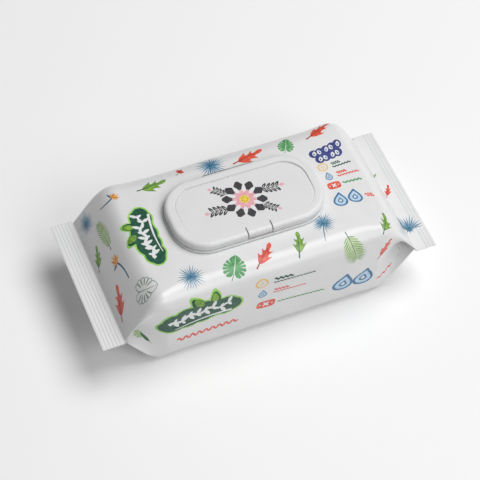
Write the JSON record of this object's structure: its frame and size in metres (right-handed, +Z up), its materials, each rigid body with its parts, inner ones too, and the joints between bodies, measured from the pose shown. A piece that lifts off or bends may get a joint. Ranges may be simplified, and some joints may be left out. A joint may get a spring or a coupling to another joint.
{
  "type": "wet wipes pack",
  "caption": "Soft film pack of wet wipes with crimped end seals, tucked side gussets and a hinged plastic lid over its dispensing opening.",
  "frame": {"origin": "middle of the pack's footprint, on the surface it rests on", "axes": "+X along the pack from one end seal to the other, +Y towards the lid's hinge, +Z up"},
  "size_m": [0.2294, 0.101, 0.0716],
  "materials": {
    "printed_film": "soft-gloss white polyethylene film, printed with leaves",
    "wipes": "moist white nonwoven",
    "first_wipe": "moist white nonwoven with a fine emboss",
    "frame_plastic": "satin white polypropylene",
    "cover_plastic": "satin white polypropylene with a printed flower"
  },
  "bodies": {
    "pack": {"film_wrap": "printed_film", "wipes_stack": "wipes", "top_wipe": "first_wipe", "lid_frame": "frame_plastic"},
    "cover": {"lid_cover": "cover_plastic"}
  },
  "joints": [
    {"name": "lid_hinge", "type": "hinge", "parent": "pack", "child": "cover", "pos_m": [-0.0015, 0.0281, 0.06815], "axis": [-1, 0, 0], "range_deg": [0, 120]}
  ]
}
